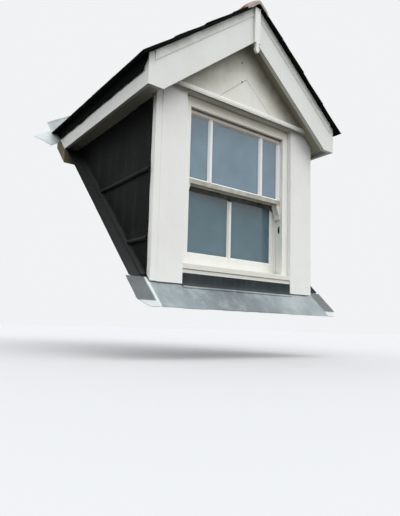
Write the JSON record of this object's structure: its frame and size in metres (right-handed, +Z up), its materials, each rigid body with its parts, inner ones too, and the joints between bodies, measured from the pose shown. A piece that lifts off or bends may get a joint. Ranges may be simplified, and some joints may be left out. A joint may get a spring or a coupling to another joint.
{
  "type": "dormer window",
  "caption": "Gabled timber dormer with a slated roof, bargeboards, boxed eaves, lead-clad cheeks and a sliding sash window.",
  "frame": {"origin": "on the sloping underside of the kerb, in the middle of its front member, below the window", "axes": "+Z up, -Y out of the window, +Y up the main roof, +X to the right as seen from outside; the kerb's underside rises towards +Y at the main roof's pitch of 43.8 degrees"},
  "size_m": [1.806, 2.0605, 1.9761],
  "materials": {
    "timber": "sawn softwood",
    "lining_paint": "painted, matt",
    "white_paint": "painted, satin, weathered",
    "cream_paint": "painted, satin, weathered",
    "window_glass": "clear",
    "slate": "riven, matt",
    "terracotta": "fired, matt",
    "lead": "weathered sheet",
    "felt": "matt"
  },
  "bodies": {
    "root": {"kerb_frame": "timber", "corner_post_left": "timber", "corner_post_right": "timber", "wall_plates": "timber", "cheek_studs": "timber", "lintel": "timber", "gable_stud": "timber", "rafters": "timber", "ridge_board": "timber", "cheek_boarding_left": "timber", "cheek_boarding_right": "timber", "gable_sheathing": "timber", "roof_deck_left": "timber", "roof_deck_right": "timber", "cheek_lining_left": "lining_paint", "cheek_lining_right": "lining_paint", "ceiling_left": "lining_paint", "ceiling_right": "lining_paint", "window_board": "lining_paint", "corner_boards": "white_paint", "pilaster_left": "white_paint", "pilaster_right": "white_paint", "gable_boards": "white_paint", "gable_infill": "white_paint", "gable_moulding": "white_paint", "verge_soffits": "white_paint", "eaves_soffit_left": "white_paint", "eaves_soffit_right": "white_paint", "fascia_left": "white_paint", "fascia_right": "white_paint", "bargeboard_left": "white_paint", "bargeboard_right": "white_paint", "apex_strip": "white_paint", "window_frame": "cream_paint", "window_sill": "cream_paint", "top_sash": "cream_paint", "bottom_sash": "cream_paint", "top_panes": "window_glass", "bottom_panes": "window_glass", "slates_left": "slate", "slates_right": "slate", "ridge_tiles": "terracotta", "cheek_lead_left": "lead", "cheek_lead_right": "lead", "side_flashings": "lead", "lead_apron": "lead", "valley_leads": "lead", "ridge_saddle": "lead", "eaves_felts": "felt"}
  },
  "joints": []
}
